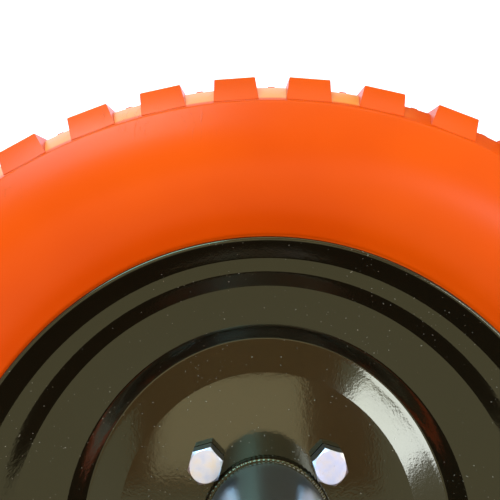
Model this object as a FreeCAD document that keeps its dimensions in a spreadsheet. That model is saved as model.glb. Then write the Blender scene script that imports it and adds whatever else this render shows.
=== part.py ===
import FreeCAD, Part
import math
import os
import Sketcher

# Wheelbarrow wheel: a foam tyre on a two-part pressed steel rim, which turns on two sealed ball bearings.
# The wheel lies flat: +Z is its axis, the origin is its centre, and the rim's stepped front faces +Z.
# Lengths are in mm. Sketches of turned sections have the radius across and the height up.

SIZES = {
    # Tyre: the moulded carcass and the lugs of its tread
    "crown_radius": 175.0,
    "floor_crown_radius": 169.5,
    "tread_floor_radius": 168.5,
    "shoulder_round": 10.5,
    "tyre_half_width": 46.8,
    "bulge_radius": 134.5,
    "sidewall_round": 48.0,
    "sidewall_foot_radius": 119.0,
    "sidewall_foot_height": 30.2,
    "foot_round": 3.0,
    "seat_edge_drop": 1.9,
    "tyre_base_radius": 100.5,
    "lug_count": 40,
    "block_top_radius": 172.2,
    "block_top_height": 44.4,
    "block_side_lean": 10.0,
    "block_side_length": 9.8,
    "block_top_half_width": 7.3,
    "block_foot_half_width": 7.9,
    "block_inner_height": 32.0,
    "block_inner_radius": 173.5,
    "block_inner_half_width": 8.7,
    "centre_lug_half_length": 38.0,
    "centre_lug_end_radius": 172.6,
    "centre_lug_half_width": 11.0,
    "centre_lug_end_half_width": 1.3,
    "lug_root_depth": 7.0,
    "lug_flank_draft": 1.0,
    # Rim: the middle line of the pressed sheet, from its lip to its flat centre disc
    "sheet_thickness": 2.0,
    "lip_radius": 115.6,
    "lip_height": 29.9,
    "flange_foot_radius": 109.5,
    "flange_foot_height": 23.7,
    "seat_radius": 104.4,
    "seat_height": 21.3,
    "cone_top_radius": 99.0,
    "cone_top_height": 16.3,
    "cone_foot_radius": 82.4,
    "cone_foot_height": 7.6,
    "groove_radius": 76.2,
    "disc_edge_radius": 61.5,
    "disc_height": 2.5,
    "flange_bend": 4.0,
    "seat_bend": 2.5,
    "groove_bend": 2.0,
    "disc_bend": 3.0,
    # Hub: a turned bearing housing on each side, welded into a flange that lies behind its disc
    "housing_radius": 25.5,
    "housing_end_height": 37.5,
    "housing_bore_radius": 20.0,
    "housing_chamfer": 0.8,
    "flange_radius": 52.0,
    # Deep-groove ball bearings with rubber seals
    "bearing_bore_radius": 10.0,
    "bearing_radius": 23.5,
    "bearing_width": 14.0,
    "bearing_corner": 0.8,
    "pitch_radius": 16.75,
    "ball_radius": 3.97,
    "ball_count": 8,
    "ball_clearance": 0.1,
    "inner_shoulder_radius": 13.9,
    "outer_shoulder_radius": 19.6,
    "seal_seat_radius": 20.4,
    "seal_seat_depth": 1.6,
    "seal_thickness": 1.2,
    "seal_lip_clearance": 0.25,
    "cage_half_wall": 1.4,
    "cage_open_depth": 2.8,
    "cage_back_depth": 4.9,
    "spacer_wall": 3.0,
    # Clamp screws with their nuts and washers
    "screw_count": 4,
    "screw_circle_radius": 36.0,
    "screw_radius": 4.0,
    "screw_length": 20.0,
    "screw_hole_clearance": 0.3,
    "hex_across_flats": 13.0,
    "head_thickness": 5.3,
    "nut_thickness": 6.5,
    "hex_chamfer_angle": 30.0,
    "washer_radius": 8.0,
    "washer_thickness": 1.6,
    "spring_washer_radius": 7.2,
    "spring_washer_thickness": 2.0,
    "spring_washer_gap": 1.0,
}

doc = FreeCAD.newDocument("wheelbarrow_wheel")
dims = doc.addObject("Spreadsheet::Sheet", "dims")
for row, (alias, number) in enumerate(SIZES.items(), start=1):
    dims.set(f"A{row}", alias)
    dims.set(f"B{row}", str(number))
    dims.setAlias(f"B{row}", alias)
doc.recompute()


class Size:
    # One length: its text is what an expression says, its value is the same length worked out now

    def __init__(self, text, value):
        self.text = text
        self.value = value

    def __add__(self, other):
        return combine(self, "+", other)

    def __sub__(self, other):
        return combine(self, "-", other)

    def __mul__(self, other):
        return combine(self, "*", other)

    def __truediv__(self, other):
        return combine(self, "/", other)

    def __neg__(self):
        return combine(NONE, "-", self)


def as_size(item):
    return item if isinstance(item, Size) else Size(str(item), float(item))


def combine(left, sign, right):
    right = as_size(right)
    results = {
        "+": left.value + right.value,
        "-": left.value - right.value,
        "*": left.value * right.value,
        "/": left.value / right.value if right.value else 0.0,
    }
    return Size(f"({left.text} {sign} {right.text})", results[sign])


NONE = Size("0", 0.0)


def dim(alias):
    return Size(f"dims.{alias}", float(dims.get(alias)))


def sine(degrees):
    return Size(f"sin({degrees.text} * 1 deg)", math.sin(math.radians(degrees.value)))


def cosine(degrees):
    return Size(f"cos({degrees.text} * 1 deg)", math.cos(math.radians(degrees.value)))


def bind(item, **properties):
    # Binds each named property to a size; a double underscore stands for a full stop
    for name, length in properties.items():
        item.setExpression(name.replace("__", "."), as_size(length).text)


def add(kind, name, **properties):
    item = doc.addObject(kind, name)
    bind(item, **properties)
    return item


# Sketches


def point_distance(sketch, geometry, end, across, up):
    # Ties a point to the sketch's origin by its two distances
    for kind, length in (("DistanceX", across), ("DistanceY", up)):
        index = sketch.addConstraint(Sketcher.Constraint(kind, -1, 1, geometry, end, length.value))
        sketch.setExpression(f"Constraints[{index}]", length.text)


def rounded_corner(before, corner, after, radius):
    # Gives the arc that rounds a corner, and whether it runs from the first line to the second
    back = (before - corner).normalize()
    ahead = (after - corner).normalize()
    half = back.getAngle(ahead) / 2
    centre = corner + (back + ahead).normalize() * (radius / math.sin(half))
    reach = radius / math.tan(half)
    first = corner + back * reach - centre
    last = corner + ahead * reach - centre
    forward = (corner - before).cross(after - corner).z > 0
    start, end = (first, last) if forward else (last, first)
    circle = Part.Circle(centre, FreeCAD.Vector(0, 0, 1), radius)
    angle_start = math.atan2(start.y, start.x)
    angle_end = math.atan2(end.y, end.x)
    if angle_end < angle_start:
        angle_end += 2 * math.pi
    return Part.ArcOfCircle(circle, angle_start, angle_end), forward, centre + first, centre + last


def draw_outline(sketch, corners, closed=True):
    # Draws straight edges between corners (across, up, round), and an arc where a corner has a round
    count = len(corners)
    places = [FreeCAD.Vector(as_size(c[0]).value, as_size(c[1]).value, 0) for c in corners]
    arcs = {}
    starts = list(places)
    ends = list(places)
    for i, corner in enumerate(corners):
        inner = closed or 0 < i < count - 1
        if len(corner) > 2 and inner:
            before = places[i - 1]
            after = places[(i + 1) % count]
            arcs[i] = rounded_corner(before, places[i], after, corner[2].value)
            ends[i] = arcs[i][2]
            starts[i] = arcs[i][3]
    edge_count = count if closed else count - 1
    lines = []
    for i in range(edge_count):
        line = Part.LineSegment(starts[i], ends[(i + 1) % count])
        lines.append(sketch.addGeometry(line, False))
    for i, corner in enumerate(corners):
        across = as_size(corner[0])
        up = as_size(corner[1])
        line_in = lines[i - 1] if closed or i > 0 else None
        line_out = lines[i] if i < edge_count else None
        if i in arcs:
            arc, forward, _, _ = arcs[i]
            arc_index = sketch.addGeometry(arc, False)
            mark = sketch.addGeometry(Part.Point(places[i]), True)
            point_distance(sketch, mark, 1, across, up)
            sketch.addConstraint(Sketcher.Constraint("PointOnObject", mark, 1, line_in))
            sketch.addConstraint(Sketcher.Constraint("PointOnObject", mark, 1, line_out))
            near, far = (1, 2) if forward else (2, 1)
            sketch.addConstraint(Sketcher.Constraint("Tangent", line_in, 2, arc_index, near))
            sketch.addConstraint(Sketcher.Constraint("Tangent", line_out, 1, arc_index, far))
            index = sketch.addConstraint(Sketcher.Constraint("Radius", arc_index, corner[2].value))
            sketch.setExpression(f"Constraints[{index}]", corner[2].text)
        elif line_in is None:
            point_distance(sketch, line_out, 1, across, up)
        else:
            point_distance(sketch, line_in, 2, across, up)
            if line_out is not None:
                sketch.addConstraint(Sketcher.Constraint("Coincident", line_in, 2, line_out, 1))


def origin_item(body, role):
    return [item for item in body.Origin.OriginFeatures if item.Role == role][0]


def body_sketch(body, name, role, corners):
    sketch = body.newObject("Sketcher::SketchObject", name)
    sketch.AttachmentSupport = [(origin_item(body, role), "")]
    sketch.MapMode = "FlatFace"
    draw_outline(sketch, corners)
    return sketch


def turned_body(name, corners):
    # A piece turned about the wheel's axis from one closed section
    body = doc.addObject("PartDesign::Body", name)
    section = body_sketch(body, f"{name}_section", "XZ_Plane", corners)
    turning = body.newObject("PartDesign::Revolution", f"{name}_turning")
    turning.Profile = section
    turning.ReferenceAxis = (section, ["V_Axis"])
    turning.Angle = 360
    return body


def mirrored(name, source):
    # The same piece on the wheel's rear side
    mirror = add("Part::Mirroring", name)
    mirror.Source = source
    mirror.Base = FreeCAD.Vector(0, 0, 0)
    mirror.Normal = FreeCAD.Vector(0, 0, 1)
    return mirror


def cut(name, base, tool):
    difference = add("Part::Cut", name)
    difference.Base = base
    difference.Tool = tool
    return difference


def tube(name, outer_radius, inner_radius, height):
    outside = add("Part::Cylinder", f"{name}_outside", Radius=outer_radius, Height=height)
    inside = add("Part::Cylinder", f"{name}_inside", Radius=inner_radius, Height=height)
    return cut(name, outside, inside)


def ring_of(name, master, count, radius, first_angle, height=NONE):
    # Equal pieces spaced round the axis, kept as one group of separate solids
    copies = []
    for i in range(count):
        angle = first_angle + as_size(360 * i) / count
        copy = add("App::Link", f"{name}_{i + 1}")
        copy.LinkedObject = master
        copy.LinkTransform = False
        copy.Placement = FreeCAD.Placement(
            FreeCAD.Vector(radius.value, 0, 0), FreeCAD.Rotation(FreeCAD.Vector(0, 0, 1), angle.value)
        )
        bind(
            copy,
            Placement__Base__x=radius * cosine(angle),
            Placement__Base__y=radius * sine(angle),
            Placement__Base__z=height,
            Placement__Rotation__Angle=angle,
        )
        copies.append(copy)
    group = add("Part::Compound", name)
    group.Links = copies
    return group


# Rim halves: one pressed sheet each, spread evenly about its middle line, then punched

half_sheet = dim("sheet_thickness") / 2
rim_line = [
    (dim("housing_bore_radius"), dim("disc_height")),
    (dim("disc_edge_radius"), dim("disc_height"), dim("disc_bend")),
    (dim("groove_radius"), half_sheet, dim("groove_bend")),
    (dim("cone_foot_radius"), dim("cone_foot_height"), dim("disc_bend")),
    (dim("cone_top_radius"), dim("cone_top_height"), dim("seat_bend")),
    (dim("seat_radius"), dim("seat_height"), dim("seat_bend")),
    (dim("flange_foot_radius"), dim("flange_foot_height"), dim("flange_bend")),
    (dim("lip_radius"), dim("lip_height")),
]
screw_hole_radius = dim("screw_radius") + dim("screw_hole_clearance")
hole_reach = dim("housing_end_height")
screw_angle = as_size(180) / dim("screw_count")
screws = int(dims.get("screw_count"))


def rim_half():
    line = add("Sketcher::SketchObject", "rim_middle_line")
    line.Placement = FreeCAD.Placement(FreeCAD.Vector(0, 0, 0), FreeCAD.Rotation(FreeCAD.Vector(1, 0, 0), 90))
    draw_outline(line, rim_line, closed=False)
    sheet = add("Part::Offset2D", "rim_sheet", Value=half_sheet)
    sheet.Source = line
    sheet.Mode = "Pipe"
    sheet.Join = "Arc"
    sheet.Fill = True
    dish = add("Part::Revolution", "rim_dish")
    dish.Source = sheet
    dish.Axis = FreeCAD.Vector(0, 0, 1)
    dish.Base = FreeCAD.Vector(0, 0, 0)
    dish.Angle = 360
    dish.Solid = True
    centre = add("Part::Cylinder", "rim_centre_hole", Radius=dim("housing_radius"), Height=hole_reach)
    holes = screw_holes("rim_screw_holes")
    punches = add("Part::Compound", "rim_punches")
    punches.Links = [centre, holes]
    return cut("rim_half_front", dish, punches)


def screw_holes(name):
    hole = add("Part::Cylinder", f"{name}_master", Radius=screw_hole_radius, Height=hole_reach)
    return ring_of(name, hole, screws, dim("screw_circle_radius"), screw_angle)


rim_half_front = rim_half()
rim_half_rear = mirrored("rim_half_rear", rim_half_front)


# Hub: a turned cup for each bearing, and the flange that the screws clamp on the back of its disc

disc_back = dim("disc_height") - half_sheet
seat_floor = dim("housing_end_height") - dim("bearing_width")


def bearing_housing():
    corners = [
        (dim("housing_bore_radius"), NONE),
        (dim("housing_radius"), NONE),
        (dim("housing_radius"), dim("housing_end_height") - dim("housing_chamfer")),
        (dim("housing_radius") - dim("housing_chamfer"), dim("housing_end_height")),
        (dim("bearing_radius"), dim("housing_end_height")),
        (dim("bearing_radius"), seat_floor),
        (dim("housing_bore_radius"), seat_floor),
    ]
    return turned_body("bearing_housing_front", corners)


def hub_flange():
    plate = tube("flange_plate", dim("flange_radius"), dim("housing_radius"), disc_back)
    return cut("hub_flange_front", plate, screw_holes("flange_screw_holes"))


bearing_housing_front = bearing_housing()
bearing_housing_rear = mirrored("bearing_housing_rear", bearing_housing_front)
hub_flange_front = hub_flange()
hub_flange_rear = mirrored("hub_flange_rear", hub_flange_front)


# Tyre: the carcass is turned, its lugs are lofted, and its seat takes the form of the rim


def block_section(body, name, foot, foot_half_width, top, top_half_width, place, turn=None):
    # A drafted cross-section of a lug, set off from the wheel's mid-plane and turned about one axis
    corners = [
        (foot, -foot_half_width),
        (top, -top_half_width),
        (top, top_half_width),
        (foot, foot_half_width),
    ]
    sketch = body_sketch(body, name, "XY_Plane", corners)
    across, height = place
    axis, angle = turn if turn else (FreeCAD.Vector(0, 0, 1), NONE)
    sketch.AttachmentOffset = FreeCAD.Placement(
        FreeCAD.Vector(across.value, 0, height.value), FreeCAD.Rotation(axis, angle.value)
    )
    bind(sketch, AttachmentOffset__Base__x=across, AttachmentOffset__Base__z=height)
    bind(sketch, AttachmentOffset__Rotation__Angle=angle)
    return sketch


def lofted_lug(body, name, sections):
    loft = body.newObject("PartDesign::AdditiveLoft", name)
    loft.Profile = sections[0]
    loft.Sections = sections[1:]
    loft.Ruled = True
    loft.Refine = False
    return loft


def shoulder_block(body, name, side):
    root = dim("tread_floor_radius") - dim("lug_root_depth")
    inner = block_section(
        body,
        f"{name}_inner",
        root,
        dim("block_inner_half_width") + dim("lug_flank_draft"),
        dim("block_inner_radius"),
        dim("block_inner_half_width"),
        (NONE, dim("block_inner_height") * side),
    )
    outer = block_section(
        body,
        f"{name}_outer",
        -dim("block_side_length"),
        dim("block_foot_half_width"),
        NONE,
        dim("block_top_half_width"),
        (dim("block_top_radius"), dim("block_top_height") * side),
        (FreeCAD.Vector(0, side, 0), dim("block_side_lean")),
    )
    return lofted_lug(body, name, [inner, outer])


def centre_lug(body, name):
    # A long pointed lug across the crown, between two pairs of shoulder blocks
    root = dim("tread_floor_radius") - dim("lug_root_depth")
    half_pitch = as_size(180) / dim("lug_count")
    ends = (dim("centre_lug_end_radius"), dim("centre_lug_end_half_width"))
    middle = (dim("crown_radius"), dim("centre_lug_half_width"))
    stations = [
        (-dim("centre_lug_half_length"), ends),
        (NONE, middle),
        (dim("centre_lug_half_length"), ends),
    ]
    sections = []
    for i, (height, (top, half_width)) in enumerate(stations):
        section = block_section(
            body,
            f"{name}_section_{i + 1}",
            root,
            half_width + dim("lug_flank_draft"),
            top,
            half_width,
            (NONE, height),
            (FreeCAD.Vector(0, 0, 1), half_pitch),
        )
        sections.append(section)
    return lofted_lug(body, name, sections)


def tyre():
    # The seat's corners lie on the sheet's middle line, and the cut with the rim takes the sheet's half away
    seat_slope = (dim("seat_height") - dim("cone_top_height")) / (dim("seat_radius") - dim("cone_top_radius"))
    base_height = dim("seat_height") - (dim("seat_radius") - dim("tyre_base_radius")) * seat_slope
    front = [
        (dim("tyre_base_radius"), base_height),
        (dim("seat_radius"), dim("seat_height")),
        (dim("flange_foot_radius"), dim("flange_foot_height")),
        (dim("lip_radius") - half_sheet, dim("lip_height") - dim("seat_edge_drop")),
        (dim("sidewall_foot_radius"), dim("sidewall_foot_height"), dim("foot_round")),
        (dim("bulge_radius"), dim("tyre_half_width"), dim("sidewall_round")),
        (dim("tread_floor_radius"), dim("tyre_half_width"), dim("shoulder_round")),
    ]
    rear = [(corner[0], -corner[1], *corner[2:]) for corner in reversed(front)]
    crown = [(dim("floor_crown_radius"), NONE)]
    body = turned_body("tyre_moulding", front + crown + rear)
    doc.recompute()
    lugs = [
        shoulder_block(body, "front_block", 1),
        shoulder_block(body, "rear_block", -1),
        centre_lug(body, "centre_lug"),
    ]
    doc.recompute()
    tread = body.newObject("PartDesign::PolarPattern", "tread")
    tread.Originals = lugs
    tread.Axis = (origin_item(body, "Z_Axis"), [""])
    tread.Angle = 360
    tread.Occurrences = int(dims.get("lug_count"))
    tread.Refine = False
    bind(tread, Occurrences=dim("lug_count"))
    body.Tip = tread
    half_pitch = as_size(180) / dim("lug_count")
    body.Placement.Rotation = FreeCAD.Rotation(FreeCAD.Vector(0, 0, 1), half_pitch.value)
    bind(body, Placement__Rotation__Angle=half_pitch)
    rims = add("Part::Compound", "rim_pair")
    rims.Links = [rim_half_front, rim_half_rear]
    return cut("tyre", body, rims)


tyre_piece = tyre()


# Clamp screws: heads on the front disc, washers, spring washers and nuts under the rear one

disc_face = dim("disc_height") + half_sheet
screw_circle = dim("screw_circle_radius")
hex_sides = 6
hex_radius = dim("hex_across_flats") / 2 / cosine(as_size(180) / hex_sides)
hex_chamfer = dim("hex_chamfer_angle")
hex_drop = (hex_radius - dim("hex_across_flats") / 2) * sine(hex_chamfer) / cosine(hex_chamfer)


def hexagon(name, thickness):
    # A hexagon whose corners are chamfered at its outer face
    prism = add("Part::Prism", f"{name}_prism", Circumradius=hex_radius, Height=thickness)
    prism.Polygon = hex_sides
    corners = [
        (NONE, NONE),
        (hex_radius, NONE),
        (hex_radius, thickness - hex_drop),
        (dim("hex_across_flats") / 2, thickness),
        (NONE, thickness),
    ]
    common = add("Part::MultiCommon", name)
    common.Shapes = [prism, turned_body(f"{name}_blank", corners)]
    return common


def rim_bolts():
    head = hexagon("screw_head", dim("head_thickness"))
    shank = add("Part::Cylinder", "screw_shank", Radius=dim("screw_radius"), Height=dim("screw_length"))
    shank.Placement.Base.z = -dim("screw_length").value
    bind(shank, Placement__Base__z=-dim("screw_length"))
    screw = add("Part::MultiFuse", "screw")
    screw.Shapes = [head, shank]
    return ring_of("rim_bolts", screw, screws, screw_circle, screw_angle, disc_face)


def rim_nuts():
    blank = hexagon("nut_blank", dim("nut_thickness"))
    hole = add("Part::Cylinder", "nut_hole", Radius=dim("screw_radius"), Height=dim("nut_thickness"))
    nut = cut("nut", blank, hole)
    under = mirrored("nut_under", nut)
    height = -disc_face - dim("washer_thickness") - dim("spring_washer_thickness")
    return ring_of("rim_nuts", under, screws, screw_circle, screw_angle, height)


def flat_washers():
    bore = dim("screw_radius") + dim("screw_hole_clearance")
    washer = tube("washer", dim("washer_radius"), bore, dim("washer_thickness"))
    height = -disc_face - dim("washer_thickness")
    return ring_of("flat_washers", washer, screws, screw_circle, screw_angle, height)


def spring_washers():
    # A split ring, pressed flat under its nut
    bore = dim("screw_radius") + dim("screw_hole_clearance")
    thickness = dim("spring_washer_thickness")
    ring = tube("spring_ring", dim("spring_washer_radius"), bore, thickness)
    split = add(
        "Part::Box",
        "spring_split",
        Length=dim("spring_washer_radius"),
        Width=dim("spring_washer_gap"),
        Height=thickness,
    )
    washer = cut("split_ring", ring, split)
    height = -disc_face - dim("washer_thickness") - thickness
    return ring_of("spring_washers", washer, screws, screw_circle, screw_angle, height)


# Bearings: outer and inner ring with a ball track each, caged balls and two seals, about the bearing's middle

half_width = dim("bearing_width") / 2
bearing_height = dim("housing_end_height") - half_width
track_radius = dim("ball_radius") + dim("ball_clearance")
balls = int(dims.get("ball_count"))


def ball_track(name):
    return add("Part::Torus", name, Radius1=dim("pitch_radius"), Radius2=track_radius)


def outer_ring(name):
    corner = dim("bearing_corner")
    seat = half_width - dim("seal_seat_depth")
    upper = [
        (dim("outer_shoulder_radius"), seat),
        (dim("seal_seat_radius"), seat),
        (dim("seal_seat_radius"), half_width),
        (dim("bearing_radius") - corner, half_width),
        (dim("bearing_radius"), half_width - corner),
    ]
    lower = [(across, -up) for across, up in reversed(upper)]
    return cut(name, turned_body(f"{name}_blank", upper + lower), ball_track(f"{name}_track"))


def inner_ring(name):
    corner = dim("bearing_corner")
    upper = [
        (dim("bearing_bore_radius"), half_width - corner),
        (dim("bearing_bore_radius") + corner, half_width),
        (dim("inner_shoulder_radius"), half_width),
    ]
    lower = [(across, -up) for across, up in reversed(upper)]
    return cut(name, turned_body(f"{name}_blank", upper + lower), ball_track(f"{name}_track"))


def ball_ring(name, radius):
    ball = add("Part::Sphere", f"{name}_master", Radius=radius)
    return ring_of(name, ball, balls, dim("pitch_radius"), NONE)


def cage(name):
    # A moulded crown: closed at its back, its pockets open towards the other face
    ring = tube(
        f"{name}_ring",
        dim("pitch_radius") + dim("cage_half_wall"),
        dim("pitch_radius") - dim("cage_half_wall"),
        dim("cage_open_depth") + dim("cage_back_depth"),
    )
    ring.Placement.Base.z = -dim("cage_open_depth").value
    bind(ring, Placement__Base__z=-dim("cage_open_depth"))
    return cut(name, ring, ball_ring(f"{name}_pockets", track_radius))


def seal(name):
    inner = dim("inner_shoulder_radius") + dim("seal_lip_clearance")
    return tube(name, dim("seal_seat_radius"), inner, dim("seal_thickness"))


def placed(name, item, height):
    # Sets a piece made about its own middle at its height on the axis
    holder = add("Part::Compound", name)
    holder.Links = [item]
    holder.Placement.Base.z = height.value
    bind(holder, Placement__Base__z=height)
    return holder


def bearing(end, side):
    middle = bearing_height * side
    seal_foot = half_width - dim("seal_seat_depth")
    outward = seal_foot if side > 0 else -seal_foot - dim("seal_thickness")
    inward = -seal_foot - dim("seal_thickness") if side > 0 else seal_foot
    crown = cage(f"{end}_crown")
    return [
        placed(f"{end}_outer_ring", outer_ring(f"{end}_outer"), middle),
        placed(f"{end}_inner_ring", inner_ring(f"{end}_inner"), middle),
        placed(f"{end}_balls", ball_ring(f"{end}_ball", dim("ball_radius")), middle),
        placed(f"{end}_cage", crown, middle),
        placed(f"{end}_seal_outer", seal(f"{end}_outside_seal"), middle + outward),
        placed(f"{end}_seal_inner", seal(f"{end}_inside_seal"), middle + inward),
    ]


def spacer_tube():
    bore = dim("bearing_bore_radius")
    length = (bearing_height - half_width) * 2
    pipe = tube("spacer_pipe", bore + dim("spacer_wall"), bore, length)
    return placed("spacer_tube", pipe, half_width - bearing_height)


pieces = [
    tyre_piece,
    rim_half_front,
    rim_half_rear,
    bearing_housing_front,
    bearing_housing_rear,
    hub_flange_front,
    hub_flange_rear,
    rim_bolts(),
    rim_nuts(),
    flat_washers(),
    spring_washers(),
    spacer_tube(),
]
pieces += bearing("front", 1)
pieces += bearing("rear", -1)
doc.recompute()

for item in doc.Objects:
    if "Invalid" in item.State or "Error" in item.State:
        raise RuntimeError(f"{item.Name} did not build: {item.State}")
for piece in pieces:
    if piece.Shape.isNull() or not piece.Shape.isValid():
        raise RuntimeError(f"{piece.Label} has no valid shape")

os.makedirs("parts", exist_ok=True)
for piece in pieces:
    solids = len(piece.Shape.Solids)
    piece.Shape.exportStep(f"parts/{piece.Label}.step")
    print(f"{piece.Label}: {solids} solid(s), {piece.Shape.Volume:.1f} mm3, {len(piece.Shape.Faces)} faces")
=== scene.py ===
import math

import bmesh
import bpy
from mathutils import Matrix, Vector


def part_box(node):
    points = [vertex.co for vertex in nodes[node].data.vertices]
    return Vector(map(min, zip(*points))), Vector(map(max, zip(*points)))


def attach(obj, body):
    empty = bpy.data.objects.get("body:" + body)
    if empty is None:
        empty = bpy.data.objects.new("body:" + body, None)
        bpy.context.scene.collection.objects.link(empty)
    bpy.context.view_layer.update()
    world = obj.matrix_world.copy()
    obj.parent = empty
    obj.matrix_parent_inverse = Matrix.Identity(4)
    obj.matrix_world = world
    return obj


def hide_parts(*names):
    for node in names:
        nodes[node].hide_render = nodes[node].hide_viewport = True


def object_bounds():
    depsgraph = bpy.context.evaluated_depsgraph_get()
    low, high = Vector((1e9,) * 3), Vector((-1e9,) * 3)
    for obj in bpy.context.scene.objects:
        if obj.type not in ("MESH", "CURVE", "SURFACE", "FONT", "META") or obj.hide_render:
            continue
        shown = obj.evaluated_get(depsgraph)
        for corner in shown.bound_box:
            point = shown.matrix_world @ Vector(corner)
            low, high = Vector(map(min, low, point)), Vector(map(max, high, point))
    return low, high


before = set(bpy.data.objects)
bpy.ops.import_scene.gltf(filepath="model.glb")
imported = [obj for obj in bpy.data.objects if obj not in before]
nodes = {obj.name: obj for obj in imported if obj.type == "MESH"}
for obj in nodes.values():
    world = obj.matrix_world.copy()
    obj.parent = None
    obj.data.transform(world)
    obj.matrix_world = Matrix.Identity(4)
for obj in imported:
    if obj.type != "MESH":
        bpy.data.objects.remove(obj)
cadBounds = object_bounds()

# Wheelbarrow wheel: a foam tyre on a black pressed rim, lying flat with its photographed side up.
# Lengths in the dictionaries are in mm unless a name says otherwise; meshes are made in metres.

mm = 0.001
scene = bpy.context.scene


def say(text):
    print("wheel:", text)


# Shape tools


def turnedBy(place, angle):
    return Vector((
        place.x * math.cos(angle) - place.y * math.sin(angle),
        place.x * math.sin(angle) + place.y * math.cos(angle),
    ))


def arcPoints(before, corner, after, radius, step):  # points along the round of one corner
    back = (before - corner).normalized()
    ahead = (after - corner).normalized()
    half = back.angle(ahead) / 2
    centre = corner + (back + ahead).normalized() * (radius / math.sin(half))
    reach = radius / math.tan(half)
    first = corner + back * reach - centre
    last = corner + ahead * reach - centre
    turn = -first.angle_signed(last)  # angle_signed runs clockwise
    count = max(3, math.ceil(abs(turn) * radius / step))
    return [centre + turnedBy(first, turn * i / count) for i in range(count + 1)]


def outlinePoints(corners, closed, step, longStep):  # corners are (radius, height, round), in mm
    places = [Vector(corner[:2]) for corner in corners]
    points = []
    for i, corner in enumerate(corners):
        inner = closed or 0 < i < len(places) - 1
        if len(corner) > 2 and inner:
            points += arcPoints(places[i - 1], places[i], places[(i + 1) % len(places)], corner[2], step)
        else:
            points.append(places[i])
    filled = []
    runs = len(points) if closed else len(points) - 1
    for i in range(runs):  # long straight runs get more points
        a = points[i]
        b = points[(i + 1) % len(points)]
        parts = max(1, round((b - a).length / longStep))
        filled += [a.lerp(b, k / parts) for k in range(parts)]
    if not closed:
        filled.append(points[-1])
    return filled


def shiftedLine(points, distance):  # a line beside another, square to it
    shifted = []
    for i, place in enumerate(points):
        before = points[max(i - 1, 0)]
        after = points[min(i + 1, len(points) - 1)]
        along = (after - before).normalized()
        shifted.append(place + Vector((-along.y, along.x)) * distance)
    return shifted


def addMesh(name, points, faces):
    mesh = bpy.data.meshes.new(name)
    mesh.from_pydata(points, [], faces)
    mesh.update()
    piece = bpy.data.objects.new(name, mesh)
    scene.collection.objects.link(piece)
    return piece


def changeMesh(piece, change):  # runs one bmesh change on a piece
    work = bmesh.new()
    work.from_mesh(piece.data)
    change(work)
    work.to_mesh(piece.data)
    work.free()
    return piece


def skinLoops(name, loops, wrap):  # quads between rings of points; the ends are capped unless they wrap
    count = len(loops[0])
    points = [point for loop in loops for point in loop]
    faces = []
    for row in range(len(loops) if wrap else len(loops) - 1):
        low = row * count
        high = (row + 1) % len(loops) * count
        for i in range(count):
            j = (i + 1) % count
            faces.append((low + i, low + j, high + j, high + i))
    if not wrap:
        faces.append(tuple(reversed(range(count))))
        faces.append(tuple(range(len(points) - count, len(points))))
    piece = addMesh(name, points, faces)
    return changeMesh(piece, lambda work: bmesh.ops.recalc_face_normals(work, faces=work.faces))


def ringPoint(radius, angle, height):  # sizes in mm, the point in metres
    return Vector((radius * math.cos(angle), radius * math.sin(angle), height)) * mm


def turned(name, outline, segments, wrap=True):  # an outline in mm turned about the wheel's axis
    angles = [2 * math.pi * i / segments for i in range(segments)]
    loops = [[ringPoint(radius, angle, height) for angle in angles] for radius, height in outline]
    return skinLoops(name, loops, wrap)


def combined(piece, tool, operation):  # a true union, cut or overlap, applied to the mesh
    step = piece.modifiers.new("shape", "BOOLEAN")
    step.operation = operation
    step.solver = "MANIFOLD"
    step.object = tool
    graph = bpy.context.evaluated_depsgraph_get()
    result = bpy.data.meshes.new_from_object(piece.evaluated_get(graph))
    piece.modifiers.clear()
    piece.data = result
    bpy.data.objects.remove(tool)
    return piece


def joined(name, pieces):
    work = bmesh.new()
    for piece in pieces:
        work.from_mesh(piece.data)
        bpy.data.objects.remove(piece)
    mesh = bpy.data.meshes.new(name)
    work.to_mesh(mesh)
    work.free()
    whole = bpy.data.objects.new(name, mesh)
    scene.collection.objects.link(whole)
    return whole


def ringOf(name, master, angles, circle, height):  # copies spaced round the wheel's axis, as one piece
    copies = []
    for angle in angles:
        copy = master.copy()
        copy.data = master.data.copy()
        place = Matrix.Rotation(angle, 4, "Z") @ Matrix.Translation(Vector((circle, 0, height)) * mm)
        copy.data.transform(place)
        copies.append(copy)
    bpy.data.objects.remove(master)
    return joined(name, copies)


def softShade(mesh, degrees):  # smooth shading that keeps the edges sharper than this angle
    mesh.shade_smooth()
    mesh.set_sharp_from_angle(angle=math.radians(degrees))


def finishPiece(piece, material, body, replaced=()):
    piece.data.materials.clear()
    piece.data.materials.append(material)
    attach(piece, body)
    if replaced:
        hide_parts(*replaced)
    return piece


def dressNode(name, material, degrees=30):  # a CAD node that keeps its shape and gets its surface
    mesh = nodes[name].data
    mesh.materials.clear()
    mesh.materials.append(material)
    softShade(mesh, degrees)


# Material tools


def hexColour(code):  # sRGB hex to linear
    channels = [int(code[i:i + 2], 16) / 255 for i in (0, 2, 4)]
    linear = [c / 12.92 if c <= 0.04045 else ((c + 0.055) / 1.055) ** 2.4 for c in channels]
    return (*linear, 1.0)


def perMm(size):  # noise scale for features about this many mm wide
    return 1 / (size * mm)


def newMaterial(name, roughness, ior=None, metallic=0.0):
    material = bpy.data.materials.new(name)
    material.use_nodes = True
    tree = material.node_tree
    shader = tree.nodes["Principled BSDF"]
    shader.inputs["Roughness"].default_value = roughness
    shader.inputs["Metallic"].default_value = metallic
    if ior:
        shader.inputs["IOR"].default_value = ior
    return material, tree, shader


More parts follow.
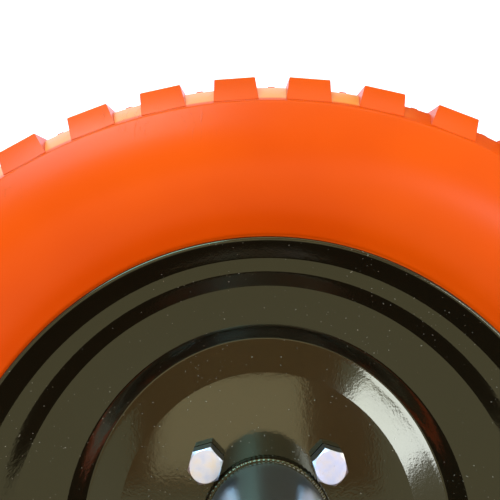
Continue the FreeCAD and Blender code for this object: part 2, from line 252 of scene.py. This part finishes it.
def addNode(tree, kind, settings=None, inputs=None, links=None, stops=None):
    # One node with its settings, input values, links from (node, socket) pairs and ramp stops
    node = tree.nodes.new(kind)
    for key, value in (settings or {}).items():
        setattr(node, key, value)
    for key, value in (inputs or {}).items():
        node.inputs[key].default_value = value
    for key, (source, socket) in (links or {}).items():
        tree.links.new(source.outputs[socket], node.inputs[key])
    for i, (place, colour) in enumerate(stops or []):
        element = node.color_ramp.elements[i] if i < 2 else node.color_ramp.elements.new(place)
        element.position = place
        element.color = colour
    return node


def addNoise(tree, place, size, detail=2.0, stretch=None):  # stretch scales the pattern along X, Y and Z
    source = (place, "Object")
    if stretch:
        scaled = addNode(tree, "ShaderNodeMapping", inputs={"Scale": stretch}, links={"Vector": source})
        source = (scaled, "Vector")
    return addNode(
        tree, "ShaderNodeTexNoise", inputs={"Scale": perMm(size), "Detail": detail}, links={"Vector": source},
    )


def addMix(tree, factor, a, b):  # mixes two colours, each a value or a (node, socket) pair
    links = {"Factor": factor}
    inputs = {}
    for key, item in (("A", a), ("B", b)):
        target = links if isinstance(item[0], bpy.types.Node) else inputs
        target[key] = item
    return addNode(tree, "ShaderNodeMix", {"data_type": "RGBA"}, inputs, links)


def addBump(tree, shader, height, strength, depth, before=None):  # depth in mm
    links = {"Height": height}
    if before:
        links["Normal"] = (before, "Normal")
    bump = addNode(tree, "ShaderNodeBump", inputs={"Strength": strength, "Distance": depth * mm}, links=links)
    tree.links.new(bump.outputs["Normal"], shader.inputs["Normal"])
    return bump


def grey(level):
    return (level, level, level, 1.0)


# Tyre

tyreSize = {
    "halfWidth": 46.8, "shoulderRadius": 161.5, "shoulderRound": 2.0, "sillRadius": 171.6, "sillHeight": 39.3,
    "sillRound": 3.0, "grooveRadius": 168.8, "grooveHeight": 26.0, "grooveRound": 12.0, "crownFloor": 169.5,
    "bulgeRadius": 134.5, "sidewallRound": 48.0, "footRadius": 117.4, "footHeight": 28.5, "footRound": 0.8,
    "seatTop": (114.3, 27.6), "seatFoot": (109.5, 22.6), "seatLow": (104.4, 20.2), "base": (100.5, 16.7),
    "lugCount": 40, "rootRadius": 161.5, "edgeClear": 2.0, "edgeDeg": 20, "edgeRound": 0.7, "edgeSteps": 3,
    "segments": 400, "step": 1.5, "longStep": 4.5, "sharpDeg": 26,
}
blockSize = {
    "innerHeight": 32.0, "innerRadius": 173.5, "innerHalf": 8.7, "flankDraft": 1.0,
    "topRadius": 172.2, "topHeight": 44.4, "topHalf": 7.3, "lean": 10.0, "sideLength": 9.8, "footHalf": 7.9,
}
centreLugSize = {
    "halfLength": 38.0, "crownRadius": 175.0, "endRadius": 172.6, "halfWidth": 11.0, "endHalf": 1.3,
    "stations": 4,
}


def lugFromSections(name, sections, angle):  # sections are rings of four (radius, width, height) corners
    turn = Matrix.Rotation(angle, 4, "Z")
    loops = [[turn @ (Vector(corner) * mm) for corner in section] for section in sections]
    lug = skinLoops(name, loops, False)
    buried = (tyreSize["rootRadius"] + tyreSize["edgeClear"]) * mm

    def roundEdges(work):  # the edges round its top; those at its root stay sharp
        shown = []
        for edge in work.edges:
            high = all(vert.co.xy.length > buried for vert in edge.verts)
            if high and edge.calc_face_angle(0) > math.radians(tyreSize["edgeDeg"]):
                shown.append(edge)
        bmesh.ops.bevel(
            work, geom=shown, offset=tyreSize["edgeRound"] * mm, segments=tyreSize["edgeSteps"],
            profile=0.5, affect="EDGES",
        )

    return changeMesh(lug, roundEdges)


def shoulderBlock(name, angle, side):
    b = blockSize
    root = tyreSize["rootRadius"]
    wideInner = b["innerHalf"] + b["flankDraft"]
    lean = math.radians(b["lean"])
    footRadius = b["topRadius"] - b["sideLength"] * math.cos(lean)
    footHeight = b["topHeight"] + b["sideLength"] * math.sin(lean)
    inner = [
        (root, -wideInner, b["innerHeight"] * side),
        (b["innerRadius"], -b["innerHalf"], b["innerHeight"] * side),
        (b["innerRadius"], b["innerHalf"], b["innerHeight"] * side),
        (root, wideInner, b["innerHeight"] * side),
    ]
    outer = [
        (footRadius, -b["footHalf"], footHeight * side),
        (b["topRadius"], -b["topHalf"], b["topHeight"] * side),
        (b["topRadius"], b["topHalf"], b["topHeight"] * side),
        (footRadius, b["footHalf"], footHeight * side),
    ]
    return lugFromSections(name, [inner, outer], angle)


def centreLug(name, angle):
    c = centreLugSize
    root = tyreSize["rootRadius"]
    sections = []
    for i in range(-c["stations"], c["stations"] + 1):
        share = abs(i) / c["stations"]
        top = c["crownRadius"] + (c["endRadius"] - c["crownRadius"]) * share
        half = c["halfWidth"] + (c["endHalf"] - c["halfWidth"]) * share
        height = c["halfLength"] * i / c["stations"]
        wide = half + blockSize["flankDraft"]
        flank = [(root, -wide, height), (top, -half, height)]
        otherFlank = [(top, half, height), (root, wide, height)]
        sections.append(flank + otherFlank)
    return lugFromSections(name, sections, angle)


def makeTyre():
    s = tyreSize
    front = [
        s["base"], s["seatLow"], s["seatFoot"], s["seatTop"],
        (s["footRadius"], s["footHeight"], s["footRound"]),
        (s["bulgeRadius"], s["halfWidth"], s["sidewallRound"]),
        (s["shoulderRadius"], s["halfWidth"], s["shoulderRound"]),
        (s["sillRadius"], s["sillHeight"], s["sillRound"]),  # the grooves run out over this sill
        (s["grooveRadius"], s["grooveHeight"], s["grooveRound"]),
    ]
    rear = [(corner[0], -corner[1], *corner[2:]) for corner in reversed(front)]
    corners = front + [(s["crownFloor"], 0)] + rear
    outline = outlinePoints(corners, True, s["step"], s["longStep"])
    carcass = turned("tyre_moulded", outline, s["segments"])
    pitch = 2 * math.pi / s["lugCount"]
    lugs = []
    for i in range(s["lugCount"]):
        lugs.append(shoulderBlock("block", (i + 0.5) * pitch, 1))
        lugs.append(shoulderBlock("block", (i + 0.5) * pitch, -1))
        lugs.append(centreLug("lug", i * pitch))
    tyre = combined(carcass, joined("lugs", lugs), "UNION")
    softShade(tyre.data, s["sharpDeg"])
    return tyre


def foamSkin():
    # Integral-skin polyurethane foam, moulded: an even satin skin whose release bloom gives a pale sheen.
    # The sills between the shoulder blocks are painted paler towards the left, a painted highlight for light
    # from behind that catches them there, and fine release wrinkles lie along the shoulder.
    look = {
        # the sill colour is a painted highlight, for light from behind on the sills at the left
        "body": "E24C00", "deep": "D94500", "sillHighlight": "EA8430", "rub": "B8441C", "shine": "FFD0A4",
        "grainMm": 0.7, "cloudMm": 60, "wrinkleMm": 3.0, "wrinkleStretch": (1.0, 0.3, 0.3),
        "sillFacing": (0.35, 0.5), "sillFoot": (162.8, 164.0), "sillTop": (172.1, 171.9),
        "sillInner": (36.5, 38.5), "sillSide": (52, 32), "shoulder": (148, 153),
    }
    material, tree, shader = newMaterial("polyurethane foam, moulded skin", 0.33, ior=1.5)
    place = addNode(tree, "ShaderNodeTexCoord")
    clouds = addNoise(tree, place, look["cloudMm"])
    tint = addNode(
        tree, "ShaderNodeValToRGB", links={"Fac": (clouds, "Fac")},
        stops=[(0.35, hexColour(look["deep"])), (0.65, hexColour(look["body"]))],
    )
    flat = addNode(
        tree, "ShaderNodeVectorMath", {"operation": "MULTIPLY"}, {1: (1, 1, 0)}, {0: (place, "Object")},
    )
    radius = addNode(tree, "ShaderNodeVectorMath", {"operation": "LENGTH"}, links={0: (flat, "Vector")})
    axes = addNode(tree, "ShaderNodeSeparateXYZ", links={"Vector": (place, "Object")})
    height = addNode(tree, "ShaderNodeMath", {"operation": "ABSOLUTE"}, links={0: (axes, "Z")})
    outward = addNode(tree, "ShaderNodeVectorMath", {"operation": "NORMALIZE"}, links={0: (flat, "Vector")})
    facing = addNode(
        tree, "ShaderNodeVectorMath", {"operation": "DOT_PRODUCT"},
        links={0: (place, "Normal"), 1: (outward, "Vector")},
    )
    limits = (  # painted sill highlight: where a sill faces outward, between its foot and top, near the shoulder and towards the left, as light from behind falls
        (facing, "Value", look["sillFacing"], 1), (radius, "Value", look["sillFoot"], mm),
        (radius, "Value", look["sillTop"], mm), (height, "Value", look["sillInner"], mm),
        (axes, "X", look["sillSide"], mm),
    )
    sillHighlight = None
    for source, socket, (start, full), unit in limits:
        share = addNode(
            tree, "ShaderNodeMapRange", inputs={"From Min": start * unit, "From Max": full * unit},
            links={"Value": (source, socket)},
        )
        both = {0: (share, "Result"), 1: sillHighlight} if sillHighlight else {0: (share, "Result")}
        sillHighlight = (addNode(tree, "ShaderNodeMath", {"operation": "MULTIPLY"}, {1: 1.0}, both), "Value")
    # painted highlight: the sills turn paler where light from behind would catch them
    withSillHighlight = addMix(tree, sillHighlight, (tint, "Color"), hexColour(look["sillHighlight"]))
    start, full = (edge * mm for edge in look["shoulder"])
    band = addNode(
        tree, "ShaderNodeMapRange", inputs={"From Min": start, "From Max": full},
        links={"Value": (radius, "Value")},
    )
    wrinkles = addNoise(tree, place, look["wrinkleMm"], 3.0, look["wrinkleStretch"])
    lines = addNode(
        tree, "ShaderNodeValToRGB", links={"Fac": (wrinkles, "Fac")},
        stops=[(0.485, grey(0)), (0.5, grey(1)), (0.515, grey(0))],
    )
    patches = addNoise(tree, place, look["cloudMm"] / 2)
    patch = addNode(
        tree, "ShaderNodeValToRGB", links={"Fac": (patches, "Fac")},
        stops=[(0.49, grey(0)), (0.62, grey(0.5))],
    )
    marked = addNode(
        tree, "ShaderNodeMath", {"operation": "MULTIPLY"}, links={0: (lines, "Color"), 1: (patch, "Color")},
    )
    marks = addNode(
        tree, "ShaderNodeMath", {"operation": "MULTIPLY"}, links={0: (marked, "Value"), 1: (band, "Result")},
    )
    colour = addMix(tree, (marks, "Value"), (withSillHighlight, 2), hexColour(look["rub"]))
    tree.links.new(colour.outputs[2], shader.inputs["Base Color"])
    grain = addNoise(tree, place, look["grainMm"])
    fine = addBump(tree, shader, (grain, "Fac"), 0.15, 0.08)
    addBump(tree, shader, (marks, "Value"), 0.5, 0.15, fine)
    shader.inputs["Specular IOR Level"].default_value = 0.25
    shader.inputs["Specular Tint"].default_value = hexColour(look["shine"])
    return material


tyre = makeTyre()
finishPiece(tyre, foamSkin(), "wheel", ["tyre"])
say("tyre")

# Rim halves

rimSize = {
    "sheet": 2.0, "centreHole": 25.5, "discHeight": 2.5, "discEdge": 61.5, "groove": (76.2, 1.0),
    "coneFoot": (82.4, 7.6), "coneTop": (99.0, 16.3), "seat": (104.4, 21.3), "flangeFoot": (109.5, 23.7),
    "lip": (115.6, 29.9), "flangeBend": 4.0, "seatBend": 2.5, "grooveBend": 2.0, "discBend": 3.0,
    "screwHole": 4.3, "holeReach": 8.0, "flatShare": 0.93, "segments": 360, "step": 0.5, "longStep": 2.2,
    "edgeSteps": 8, "sharpDeg": 32,
}
screwSize = {
    "count": 4, "circle": 36.0, "radius": 4.0, "length": 20.0, "head": 5.3, "nut": 6.5, "flats": 13.0,
    "underHead": 0.4, "washerFace": 6.2, "chamferDeg": 30, "washer": 1.6, "springWasher": 2.0, "pitch": 1.25,
    "threadDepth": 0.68, "rowsPerPitch": 6, "plainLength": 6.0, "sides": 48, "sharpDeg": 28,
    "chamferGain": 1.3, "faceShare": 0.97, "cornerShare": 1.01, "collarShare": 1.5, "boreReach": 1.0,
}
screwAngles = [math.pi / 4 + math.pi / 2 * i for i in range(screwSize["count"])]
discFace = rimSize["discHeight"] + rimSize["sheet"] / 2


def makeRimHalf(name, side):
    s = rimSize
    corners = [
        (s["centreHole"], s["discHeight"]),
        (s["discEdge"], s["discHeight"], s["discBend"]),
        (*s["groove"], s["grooveBend"]),
        (*s["coneFoot"], s["discBend"]),
        (*s["coneTop"], s["seatBend"]),
        (*s["seat"], s["seatBend"]),
        (*s["flangeFoot"], s["flangeBend"]),
        s["lip"],
    ]
    line = outlinePoints(corners, False, s["step"], s["longStep"])
    line.insert(-1, line[-2].lerp(line[-1], s["flatShare"]))  # keeps the lip's wall flat up to its round edge
    shown = shiftedLine(line, s["sheet"] / 2)
    hidden = shiftedLine(line, -s["sheet"] / 2)
    tip = line[-1]
    start = shown[-1] - tip
    edge = [tip + turnedBy(start, -math.pi * i / s["edgeSteps"]) for i in range(1, s["edgeSteps"])]
    outline = shown + edge + list(reversed(hidden))
    half = turned(name, [(point.x, point.y * side) for point in outline], s["segments"])
    reach = s["holeReach"]
    hole = turned("hole", [(s["screwHole"], -reach), (s["screwHole"], reach)], screwSize["sides"], False)
    holes = ringOf("holes", hole, screwAngles, screwSize["circle"], 0)
    half = combined(half, holes, "DIFFERENCE")
    softShade(half.data, s["sharpDeg"])
    return half


def glossPaint():
    # Stove enamel on pressed steel, sprayed: deep gloss, with slight orange peel and settled dust nibs
    look = {
        "black": "0F0A04", "shine": "FFF4B2", "dust": "6A6250", "peelMm": 2.2, "fineMm": 0.8, "dustMm": 0.8,
        "filmMm": 25,
    }
    material, tree, shader = newMaterial("black stove enamel, sprayed", 0.1, ior=1.56)
    shader.inputs["Specular Tint"].default_value = hexColour(look["shine"])
    place = addNode(tree, "ShaderNodeTexCoord")
    specks = addNoise(tree, place, look["dustMm"], 0.0)
    film = addNoise(tree, place, look["filmMm"])
    gathered = addNode(
        tree, "ShaderNodeMath", {"operation": "MULTIPLY_ADD"}, {1: 0.28},
        {0: (film, "Fac"), 2: (specks, "Fac")},
    )
    mask = addNode(
        tree, "ShaderNodeValToRGB", links={"Fac": (gathered, "Value")},
        stops=[(0.985, grey(0)), (1.0, grey(1))],
    )
    colour = addMix(tree, (mask, "Color"), hexColour(look["black"]), hexColour(look["dust"]))
    tree.links.new(colour.outputs[2], shader.inputs["Base Color"])
    peel = addNoise(tree, place, look["peelMm"])
    fine = addNoise(tree, place, look["fineMm"], 1.0)
    broad = addBump(tree, shader, (peel, "Fac"), 0.45, 0.05)
    close = addBump(tree, shader, (fine, "Fac"), 0.45, 0.03, broad)
    addBump(tree, shader, (mask, "Color"), 0.5, 0.1, close)
    return material


paint = glossPaint()
for end, side in (("front", 1), ("rear", -1)):
    half = makeRimHalf(f"rim_pressing_{end}", side)
    finishPiece(half, paint, "wheel", [f"rim_half_{end}"])
say("rim halves")

# Clamp screws and nuts


def hexBlank(name, low, high, bothEnds):  # a hexagon with its corners turned off at one end or both
    s = screwSize
    flat = s["flats"] / 2
    corner = flat / math.cos(math.pi / 6)
    drop = (corner - flat) * math.tan(math.radians(s["chamferDeg"])) * s["chamferGain"]
    prism = turned(name, [(corner, low), (corner, high)], 6, False)
    wide = corner * s["cornerShare"]
    narrow = flat * s["faceShare"]
    foot = [(narrow, low), (wide, low + drop)] if bothEnds else [(wide, low)]
    top = [(wide, high - drop), (narrow, high)]
    return combined(prism, turned("blank", foot + top, s["sides"], False), "INTERSECT")


def threadedShank(name, top, plainEnd, tip):  # the thread's ridge winds round as the height falls
    s = screwSize
    rows = math.ceil((plainEnd - tip) / (s["pitch"] / s["rowsPerPitch"]))
    heights = [plainEnd - (plainEnd - tip) * i / rows for i in range(rows + 1)]
    loops = []
    for height in [top, *heights]:
        worn = min(1.0, (height - tip) / s["pitch"])  # the point is chamfered
        ring = []
        for i in range(s["sides"]):
            angle = 2 * math.pi * i / s["sides"]
            phase = (height / s["pitch"] + i / s["sides"]) % 1
            cut = s["threadDepth"] * abs(2 * phase - 1) if height < plainEnd else 0
            radius = s["radius"] - max(cut, s["threadDepth"] * (1 - worn))
            ring.append(ringPoint(radius, angle, height))
        loops.append(ring)
    return skinLoops(name, loops, False)


def makeScrews():
    s = screwSize
    head = hexBlank("head", s["underHead"], s["head"], False)
    sunk = s["underHead"] * s["collarShare"]
    collar = turned("collar", [(s["washerFace"], 0), (s["washerFace"], sunk)], s["sides"], False)
    screw = combined(head, collar, "UNION")
    shank = threadedShank("shank", s["underHead"], -s["plainLength"], -s["length"])
    screw = combined(screw, shank, "UNION")
    return ringOf("rim_screws", screw, screwAngles, s["circle"], discFace)


def makeNuts():
    s = screwSize
    nut = hexBlank("nut", 0, s["nut"], True)
    reach = s["boreReach"]
    bore = turned("bore", [(s["radius"], -reach), (s["radius"], s["nut"] + reach)], s["sides"], False)
    nut = combined(nut, bore, "DIFFERENCE")
    height = -discFace - s["washer"] - s["springWasher"] - s["nut"]
    return ringOf("rim_nuts_turned", nut, screwAngles, s["circle"], height)


def platedSteel():
    # Steel, zinc plated and clear passivated: a bright grey metal with a faint blue and straw cast
    look = {"zinc": "C2C4C4", "straw": "C9C2B0", "blue": "B4BCC6", "castMm": 4.0, "grainMm": 0.5}
    material, tree, shader = newMaterial("steel, zinc plated", 0.3, metallic=1.0)
    place = addNode(tree, "ShaderNodeTexCoord")
    cast = addNoise(tree, place, look["castMm"], 3.0)
    tint = addNode(
        tree, "ShaderNodeValToRGB", links={"Fac": (cast, "Fac")},
        stops=[
            (0.3, hexColour(look["straw"])), (0.7, hexColour(look["blue"])),
            (0.5, hexColour(look["zinc"])),
        ],
    )
    tree.links.new(tint.outputs["Color"], shader.inputs["Base Color"])
    grain = addNoise(tree, place, look["grainMm"])
    rough = addNode(
        tree, "ShaderNodeMapRange", inputs={"To Min": 0.24, "To Max": 0.38}, links={"Value": (grain, "Fac")},
    )
    tree.links.new(rough.outputs["Result"], shader.inputs["Roughness"])
    addBump(tree, shader, (grain, "Fac"), 0.2, 0.03)
    return material


zinc = platedSteel()
for piece, node in ((makeScrews(), "rim_bolts"), (makeNuts(), "rim_nuts")):
    softShade(piece.data, screwSize["sharpDeg"])
    finishPiece(piece, zinc, "wheel", [node])
for end in ("front", "rear"):
    dressNode(f"hub_flange_{end}", zinc)
dressNode("flat_washers", zinc)
say("screws and nuts")

# Hub: turned housings with their welds, and the bearings in them

weldSize = {
    "radius": 25.9, "height": 3.9, "bead": 1.7, "ripple": 0.22, "ripples": 84, "across": 10, "segments": 504,
    "sharpDeg": 60,
}
sealSize = {
    "inner": 14.15, "outer": 20.4, "lipDrop": 0.35, "round": 0.15, "segments": 128, "step": 0.08,
    "longStep": 1.0, "sharpDeg": 40,
    # How far each corner of the face lies across from the lip and below the top
    "face": ((0.4, 0.3), (1.1, 0.3), (1.4, 0.75), (4.3, 0.75), (4.7, 0.1), (5.7, 0.1), (6.25, 0.45)),
}


def makeWeld(name, side):  # a rippled bead round the housing, on the face of its disc
    w = weldSize
    loops = []
    for i in range(w["segments"]):
        angle = 2 * math.pi * i / w["segments"]
        swell = w["bead"] + w["ripple"] * abs(math.sin(w["ripples"] * angle / 2))
        ring = []
        for k in range(w["across"]):
            turn = 2 * math.pi * k / w["across"]
            radius = w["radius"] + swell * math.cos(turn)
            height = side * (w["height"] + swell * math.sin(turn))
            ring.append(ringPoint(radius, angle, height))
        loops.append(ring)
    bead = skinLoops(name, loops, True)
    softShade(bead.data, w["sharpDeg"])
    return bead


def makeSeal(name, node, side):  # a moulded lip, a dished web and a bead that snaps into the outer ring
    s = sealSize
    low, high = (corner.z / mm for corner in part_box(node))
    face, back = (high, low) if side > 0 else (low, high)
    corners = [(s["inner"], back), (s["inner"], face - side * s["lipDrop"])]
    for across, drop in s["face"]:
        corners.append((s["inner"] + across, face - side * drop, s["round"]))
    corners.append((s["outer"], back))
    outline = outlinePoints(corners, True, s["step"], s["longStep"])
    seal = turned(name, outline, s["segments"])
    softShade(seal.data, s["sharpDeg"])
    return seal


def turnedSteel(name, colour, roughness, lineMm):
    # Bare steel whose fine tool marks run round the wheel's axis, so its shine spreads across them
    material, tree, shader = newMaterial(name, roughness, metallic=1.0)
    place = addNode(tree, "ShaderNodeTexCoord")
    flat = addNode(
        tree, "ShaderNodeVectorMath", {"operation": "MULTIPLY"}, {1: (1, 1, 0)}, {0: (place, "Object")},
    )
    radius = addNode(tree, "ShaderNodeVectorMath", {"operation": "LENGTH"}, links={0: (flat, "Vector")})
    axes = addNode(tree, "ShaderNodeSeparateXYZ", links={"Vector": (place, "Object")})
    around = addNode(tree, "ShaderNodeCombineXYZ", links={"X": (radius, "Value"), "Y": (axes, "Z")})
    marks = addNode(
        tree, "ShaderNodeTexNoise", inputs={"Scale": perMm(lineMm), "Detail": 3.0},
        links={"Vector": (around, "Vector")},
    )
    shade = addNode(
        tree, "ShaderNodeMapRange", inputs={"To Min": roughness * 0.75, "To Max": roughness * 1.35},
        links={"Value": (marks, "Fac")},
    )
    tree.links.new(shade.outputs["Result"], shader.inputs["Roughness"])
    shader.inputs["Base Color"].default_value = hexColour(colour)
    addBump(tree, shader, (marks, "Fac"), 0.25, 0.02)
    return material


def mouldedPolymer(name, colour, speck, roughness, ior, grainMm):
    # A moulded polymer: an even matt skin, with a fine mould texture that breaks its shine
    material, tree, shader = newMaterial(name, roughness, ior=ior)
    place = addNode(tree, "ShaderNodeTexCoord")
    grain = addNoise(tree, place, grainMm, 3.0)
    tint = addMix(tree, (grain, "Fac"), hexColour(colour), hexColour(speck))
    tree.links.new(tint.outputs[2], shader.inputs["Base Color"])
    addBump(tree, shader, (grain, "Fac"), 0.3, 0.05)
    return material


# The tool marks are drawn about five times coarser than real ones, which are too fine to show
housingSteel = turnedSteel("turned steel, zinc plated", "B9BBBA", 0.34, 0.6)
groundSteel = turnedSteel("bearing steel, ground", "B4B4B8", 0.2, 0.3)
drawnSteel = turnedSteel("steel tube, cold drawn", "96979A", 0.36, 0.8)
phosphated = turnedSteel("spring steel, phosphated", "4A4A4C", 0.5, 0.4)
nitrile = mouldedPolymer("nitrile rubber, moulded", "15130F", "221F1B", 0.55, 1.52, 0.6)
nylon = mouldedPolymer("glass filled nylon, moulded", "C8BC98", "B4A782", 0.45, 1.53, 0.5)

for end, side in (("front", 1), ("rear", -1)):
    finishPiece(makeWeld(f"weld_bead_{end}", side), paint, "wheel")
    seal = makeSeal(f"seal_moulded_{end}", f"{end}_seal_outer", side)
    finishPiece(seal, nitrile, "wheel", [f"{end}_seal_outer"])
    dressNode(f"bearing_housing_{end}", housingSteel)
    dressNode(f"{end}_seal_inner", nitrile)
    dressNode(f"{end}_cage", nylon)
    for part in ("outer_ring", "inner_ring", "balls"):
        dressNode(f"{end}_{part}", groundSteel)
dressNode("spacer_tube", drawnSteel)
dressNode("spring_washers", phosphated)
say("hub and bearings")

# Floor, light and camera

stageSize = {
    "floorHalfM": 3.0, "floorColour": "F7F6F4", "floorGlow": 0.42, "roomLevel": 0.7,
    "ringRadiusM": 4.4, "ringTopM": 2.2, "ringSteps": 48, "ringColour": "4A4034",
    "highCardM": ((-0.8, 0.55), (-0.75, 0.4)), "highCardUpM": 1.5, "highCardColour": "CFA27E",
    "lowCardM": ((0.08, 1.4), (0.2, 1.4)), "lowCardUpM": 0.001, "lowCardColour": "6A3A1C",
}


def levelSheet(name, spanX, spanY, height):  # one level rectangle, in metres
    (left, right), (near, far) = spanX, spanY
    points = [(left, near, height), (right, near, height), (right, far, height), (left, far, height)]
    return addMesh(name, points, [(0, 1, 2, 3)])


def makeFloor():
    span = (-stageSize["floorHalfM"], stageSize["floorHalfM"])
    floor = levelSheet("floor", span, span, cadBounds[0].z)
    material, tree, shader = newMaterial("pale matt floor", 1.0)
    shader.inputs["Base Color"].default_value = hexColour(stageSize["floorColour"])
    shader.inputs["Specular IOR Level"].default_value = 0.0
    shader.inputs["Emission Color"].default_value = grey(1.0)
    shader.inputs["Emission Strength"].default_value = stageSize["floorGlow"]
    floor.data.materials.append(material)


def makeCard(card, colour):  # a matt studio card that gloss mirrors and the camera looks through
    material, tree, shader = newMaterial(f"{card.name}, matt", 1.0)
    shader.inputs["Base Color"].default_value = hexColour(colour)
    shader.inputs["Specular IOR Level"].default_value = 0.0
    card.data.materials.append(material)
    card.visible_camera = False


def makeCards():  # a dark ring low down round the set, a brown card overhead and one low down on the right
    s = stageSize
    low = cadBounds[0].z
    steps = s["ringSteps"]
    reach = s["ringRadiusM"]
    points = []
    for height in (low, s["ringTopM"]):
        for i in range(steps):
            angle = 2 * math.pi * i / steps
            points.append((reach * math.cos(angle), reach * math.sin(angle), height))
    faces = [(i, (i + 1) % steps, steps + (i + 1) % steps, steps + i) for i in range(steps)]
    makeCard(addMesh("dark_ring", points, faces), s["ringColour"])
    makeCard(levelSheet("brown_card", *s["highCardM"], s["highCardUpM"]), s["highCardColour"])
    lowCard = levelSheet("low_card", *s["lowCardM"], low + s["lowCardUpM"])
    makeCard(lowCard, s["lowCardColour"])
    lowCard.visible_diffuse = False  # only shine meets it, so the floor stays pale
    lowCard.visible_shadow = False


def makeWorld():
    # Soft light from all round; the camera, metal and gloss see it as plain white
    world = bpy.data.worlds.new("room")
    world.use_nodes = True
    tree = world.node_tree
    room = tree.nodes["Background"]
    room.inputs["Color"].default_value = grey(1.0)
    room.inputs["Strength"].default_value = stageSize["roomLevel"]
    plain = addNode(tree, "ShaderNodeBackground", inputs={"Color": grey(1.0), "Strength": 1.0})
    path = addNode(tree, "ShaderNodeLightPath")
    seen = (path, "Is Camera Ray")
    for ray in ("Is Glossy Ray", "Is Transmission Ray"):
        either = addNode(tree, "ShaderNodeMath", {"operation": "MAXIMUM"}, links={0: seen, 1: (path, ray)})
        seen = (either, "Value")
    both = addNode(
        tree, "ShaderNodeMixShader", links={0: seen, 1: (room, "Background"), 2: (plain, "Background")},
    )
    tree.links.new(both.outputs["Shader"], tree.nodes["World Output"].inputs["Surface"])
    scene.world = world


def softPanel(name, direction, distance, size, level, along=(1, 0, 0), colour="FFFFFF"):
    # Distance and size are in metres; level is how bright it looks; along is where its long side points
    data = bpy.data.lights.new(name, "AREA")
    data.shape = "RECTANGLE"
    data.size, data.size_y = size
    data.energy = level * math.pi * size[0] * size[1]
    data.color = hexColour(colour)[:3]
    lamp = bpy.data.objects.new(name, data)
    back = Vector(direction).normalized()
    side = (Vector(along) - back * back.dot(Vector(along))).normalized()
    turn = Matrix((side, back.cross(side), back)).transposed()
    lamp.matrix_world = Matrix.Translation(back * distance) @ turn.to_4x4()
    lamp.visible_camera = False
    scene.collection.objects.link(lamp)
    return lamp


def makeCamera():
    view = {
        "place": (-7.0, 94.2, 160.6), "rollDeg": 0.32, "tiltDeg": 7.45, "turnDeg": 0.24, "lens": 25.2,
        "sensor": 36.0,
    }
    data = bpy.data.cameras.new("camera")
    data.lens = view["lens"]
    data.sensor_width = view["sensor"]
    data.clip_start = 0.01
    camera = bpy.data.objects.new("camera", data)
    place = Matrix.Translation(Vector(view["place"]) * mm)
    for axis, key in (("Z", "rollDeg"), ("X", "tiltDeg"), ("Y", "turnDeg")):
        place = place @ Matrix.Rotation(math.radians(view[key]), 4, axis)
    camera.matrix_world = place
    scene.collection.objects.link(camera)
    scene.camera = camera


makeFloor()
makeCards()
makeWorld()
softPanel("wall", (-0.05, 0.80, 0.60), 1.6, (2.6, 0.32), 4.5, (1, 0, 0), "D8E8E0")
softPanel("skylight", (-0.42, 0.58, 0.70), 1.4, (0.8, 0.6), 16, (1, 0, 0), "86C8FF")
softPanel("window", (0.48, -0.175, 0.86), 1.2, (0.4, 0.2), 26, (0.19, -0.22, -0.13), "B8C6FF")
softPanel("opening", (-0.06, -0.28, 0.955), 1.2, (0.52, 0.34), 1.9, (1, 0, 0), "EEF4FF")
softPanel("side", (0.83, 0.10, 0.50), 1.4, (0.6, 0.6), 2.4, (0, 1, 0))
softPanel("fill", (0, -0.74, 0.67), 1.6, (1.8, 0.7), 1.3).visible_glossy = False
makeCamera()
scene.view_settings.view_transform = "Standard"
say("stage")
